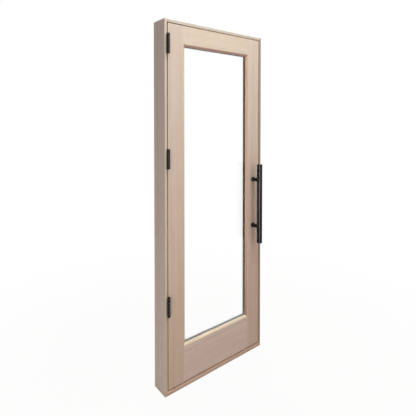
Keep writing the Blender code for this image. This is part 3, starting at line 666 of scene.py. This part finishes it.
pull_coat = black_powder_coat("black_powder_coated_pull", index=1.28)
bar = add_piece("outer_pull_bar_coated", round_bar("outer_pull_bar", BAR_RADIUS, BAR_EASE),
                pull_coat, "leaf")
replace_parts(bar, "outer_pull_bar")
grub_screw = turned(
    [0, GRUB_RADIUS, GRUB_RADIUS, GRUB_RADIUS - GRUB_LIP, GRUB_RADIUS / 2, GRUB_RADIUS / 2, 0],
    [-GRUB_LENGTH, -GRUB_LENGTH, -GRUB_LIP, 0, 0, -GRUB_SOCKET, -GRUB_SOCKET], GRUB_STEPS)
for position in ("upper", "lower"):
    node = f"outer_pull_{position}_post"
    shape, base = saddle_post(node, "outer_pull_bar", -1, POST_RADIUS, ROSETTE_RADIUS, BAR_RADIUS)
    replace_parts(add_piece(f"{node}_coated", shape, pull_coat, "leaf"), node)
    grub_place = (base[0], base[1] - GRUB_REACH, base[2] - POST_RADIUS - SEAT_GAP)
    add_piece(f"{node}_grub_screw",
              placed([(grub_screw, ((1, 0, 0), (0, -1, 0), (0, 0, -1)), grub_place)]),
              pull_coat, "leaf")

# Inner grip. Metal would burn a hand in the heat, so the inside has a turned hemlock dowel on
# two turned posts, screwed from outside under the rosettes, and oiled by hands over the years.
GRIP_RADIUS = 0.014
GRIP_EASE = 0.0035
GRIP_POST_RADIUS = 0.010
GRIP_ROSETTE_RADIUS = 0.0145
dowel = bare_hemlock("inner_pull_bar", GRAIN_ALONG_Z, (0.09, 0.16, 12.3), "DCC3A4", streak=0.6)
grip = add_piece("inner_pull_bar_turned", round_bar("inner_pull_bar", GRIP_RADIUS, GRIP_EASE),
                 dowel, "leaf")
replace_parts(grip, "inner_pull_bar")
for position, pith in (("upper", (0.12, 0.14, 13.2)), ("lower", (0.14, 0.10, 14.6))):
    node = f"inner_pull_{position}_post"
    shape, base = saddle_post(node, "inner_pull_bar", 1, GRIP_POST_RADIUS, GRIP_ROSETTE_RADIUS,
                              GRIP_RADIUS)
    turned_wood = bare_hemlock(node, GRAIN_ALONG_Y, pith, "DAC0A2", streak=0.6)
    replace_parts(add_piece(f"{node}_turned", shape, turned_wood, "leaf"), node)

# Catch. A nickel-plated steel plate over a magnet in the leaf's edge and a like keeper in the
# jamb, each let in flush and held by two small cross-head screws, finely brushed along.
BRUSH_WIDTH = 0.0004
BRUSH_LENGTH = 0.020
CATCH_SCREW_LEVELS = (-0.021, 0.021)
CATCH_HEAD_RADIUS = 0.0034
CATCH_HEAD_DEPTH = 0.0018
CATCH_HEAD_RISE = 0.0001    # the face stands this far out of the plate


def nickel_plate():
    """Bright nickel on steel, brushed along Z: warm grey, with fine streaks in its gloss."""
    finish = bpy.data.materials.new("nickel_plated_catch")
    finish.use_nodes = True
    tree = finish.node_tree
    shader = tree.nodes["Principled BSDF"]
    where = add_node(tree, "ShaderNodeTexCoord", {}).outputs["Object"]
    drawn = add_node(tree, "ShaderNodeVectorMath", {
        0: where, 1: (1 / BRUSH_WIDTH, 1 / BRUSH_WIDTH, 1 / BRUSH_LENGTH)}, operation="MULTIPLY")
    streaks = add_node(tree, "ShaderNodeTexNoise", {
        "Vector": drawn.outputs[0], "Scale": 1.0, "Detail": 2.0}).outputs[0]
    tone = add_node(tree, "ShaderNodeMix", {
        MIX_FACTOR: streaks, MIX_FIRST: linear("B5AFA6"), MIX_SECOND: linear("D2CCC2")},
        data_type="RGBA").outputs[MIX_RESULT]
    rough = add_node(tree, "ShaderNodeMapRange", {
        "Value": streaks, "From Min": 0.3, "From Max": 0.7,
        "To Min": 0.22, "To Max": 0.38}).outputs[0]
    tree.links.new(tone, shader.inputs["Base Color"])
    tree.links.new(rough, shader.inputs["Roughness"])
    shader.inputs["Metallic"].default_value = 1.0
    return finish


nickel = nickel_plate()
for node, body, axes, outwards in (("catch_magnet", "leaf", FACING_RIGHT, 1),
                                   ("catch_keeper", "frame", FACING_LEFT, -1)):
    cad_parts[node].material_slots[0].material = nickel
    low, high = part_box(node)
    middle = (low + high) / 2
    face = middle.x + outwards * ((high.x - low.x) / 2 + CATCH_HEAD_RISE)
    screw = cross_screw(CATCH_HEAD_RADIUS, CATCH_HEAD_DEPTH)
    add_piece(f"{node}_screws",
              placed([(screw, axes, (face, middle.y, middle.z + rise))
                      for rise in CATCH_SCREW_LEVELS]), nickel, body)

# Floor, light and camera. A white studio: a pale floor that keeps a soft shadow, an even white
# surround, and soft boxes overhead, in front, low on the left and behind. The slim glint box
# shows only in gloss, as the line of light down the black steel.
SURROUND = 0.34
SOFT_BOXES = {
    "overhead": {"power": 45.0, "size": (1.2, 1.2), "colour": (0.93, 0.965, 1.0),
                 "place": (0.0, -1.0, 3.6), "aim": (0.0, 0.0, 1.3)},
    "strip": {"power": 5.6, "size": (0.30, 1.8), "colour": (0.96, 0.99, 1.0),
              "place": (0.19, -1.3, 1.8), "aim": (0.19, 0.0, 1.8)},
    "glint": {"power": 38.0, "size": (0.13, 2.6), "colour": (1.0, 1.0, 1.0), "gloss_only": True,
              "place": (-0.354, -0.876, 1.5), "aim": (0.3005, -0.122, 1.5)},
    "fill": {"power": 22.5, "size": (1.0, 1.2), "colour": (1.0, 0.92, 0.84),
             "place": (-2.4, -1.4, 0.4), "aim": (-0.2, 0.0, 1.0)},
    "back": {"power": 36.0, "size": (1.4, 1.4), "colour": (1.0, 0.99, 0.98),
             "place": (1.5, 2.0, 1.9), "aim": (0.1, 0.0, 1.0)}}
FLOOR_SIZE = 60.0
FLOOR_LEVEL = -0.0005
SHADOW_REACH = 0.6          # the floor keeps the door's faint shadow within this distance
WHITE_REACH = 2.6           # and is plain white from here on
NEAR_WHITENESS = 0.95
IMAGE_SIDE = 416
FOCAL_PIXELS = 357.0
SENSOR = 36.0
CAMERA_PLACE = (-1.3983, -1.7249, 1.5175)
CAMERA_YAW = 0.6704
CAMERA_PITCH = -0.0216
CENTRE_ROW = 130.99

floor_mesh = bpy.data.meshes.new("floor")
side = FLOOR_SIZE / 2
floor_mesh.from_pydata([(-side, -side, FLOOR_LEVEL), (side, -side, FLOOR_LEVEL),
                        (side, side, FLOOR_LEVEL), (-side, side, FLOOR_LEVEL)], [], [(0, 1, 2, 3)])
floor = bpy.data.objects.new("floor", floor_mesh)
bpy.context.scene.collection.objects.link(floor)
floor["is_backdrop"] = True


def shown_to_rays(tree):
    """One where a ray comes from the camera, a gloss or a glass, and nought elsewhere."""
    path = add_node(tree, "ShaderNodeLightPath", {}).outputs
    seen = add_node(tree, "ShaderNodeMath", {
        0: path["Is Camera Ray"], 1: path["Is Glossy Ray"]}, operation="MAXIMUM").outputs[0]
    return add_node(tree, "ShaderNodeMath", {
        0: seen, 1: path["Is Transmission Ray"]}, operation="MAXIMUM").outputs[0]


white_floor = bpy.data.materials.new("white_studio_floor")
white_floor.use_nodes = True
tree = white_floor.node_tree
tree.nodes.clear()
paint = add_node(tree, "ShaderNodeBsdfDiffuse", {"Color": linear("DCCFC0")}).outputs[0]
glow = add_node(tree, "ShaderNodeEmission", {"Color": (1, 1, 1, 1), "Strength": 1.0}).outputs[0]
place = add_node(tree, "ShaderNodeTexCoord", {}).outputs["Object"]
away = add_node(tree, "ShaderNodeVectorMath", {0: place}, operation="LENGTH").outputs["Value"]
whiteness = add_node(tree, "ShaderNodeMapRange", {
    "Value": away, "From Min": SHADOW_REACH, "From Max": WHITE_REACH,
    "To Min": NEAR_WHITENESS, "To Max": 1.0}, interpolation_type="SMOOTHSTEP").outputs[0]
share = add_node(tree, "ShaderNodeMath", {
    0: shown_to_rays(tree), 1: whiteness}, operation="MULTIPLY").outputs[0]
mixed = add_node(tree, "ShaderNodeMixShader", {0: share, 1: paint, 2: glow}).outputs[0]
add_node(tree, "ShaderNodeOutputMaterial", {"Surface": mixed})
floor_mesh.materials.append(white_floor)

world = bpy.data.worlds.new("white_surround")
bpy.context.scene.world = world
world.use_nodes = True
tree = world.node_tree
tree.nodes.clear()
dim = add_node(tree, "ShaderNodeBackground", {
    "Color": linear("F8FBFF"), "Strength": SURROUND}).outputs[0]
white = add_node(tree, "ShaderNodeBackground", {"Color": (1, 1, 1, 1), "Strength": 1.0}).outputs[0]
mixed = add_node(tree, "ShaderNodeMixShader", {0: shown_to_rays(tree), 1: dim, 2: white}).outputs[0]
add_node(tree, "ShaderNodeOutputWorld", {"Surface": mixed})

for name, box in SOFT_BOXES.items():
    lamp = bpy.data.lights.new(f"{name}_soft_box", "AREA")
    lamp.shape = "RECTANGLE"
    lamp.size, lamp.size_y = box["size"]
    lamp.energy, lamp.color = box["power"], box["colour"]
    soft_box = bpy.data.objects.new(f"{name}_soft_box", lamp)
    bpy.context.scene.collection.objects.link(soft_box)
    soft_box.location = box["place"]
    way = np.array(box["aim"]) - np.array(box["place"])
    soft_box.rotation_euler = (math.atan2(math.hypot(way[0], way[1]), -way[2]), 0,
                               math.atan2(-way[0], way[1]))
    soft_box.visible_camera = soft_box.visible_transmission = False
    soft_box.visible_diffuse = "gloss_only" not in box

lens = bpy.data.cameras.new("camera")
lens.sensor_width = SENSOR
lens.lens = FOCAL_PIXELS / IMAGE_SIDE * SENSOR
lens.shift_y = (CENTRE_ROW - IMAGE_SIDE / 2) / IMAGE_SIDE
lens.clip_start, lens.clip_end = 0.05, 200.0
camera = bpy.data.objects.new("camera", lens)
bpy.context.scene.collection.objects.link(camera)
camera.location = CAMERA_PLACE
camera.rotation_euler = (math.pi / 2 + CAMERA_PITCH, 0, -CAMERA_YAW)
bpy.context.scene.camera = camera
bpy.context.scene.view_settings.view_transform = "Standard"

low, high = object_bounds()
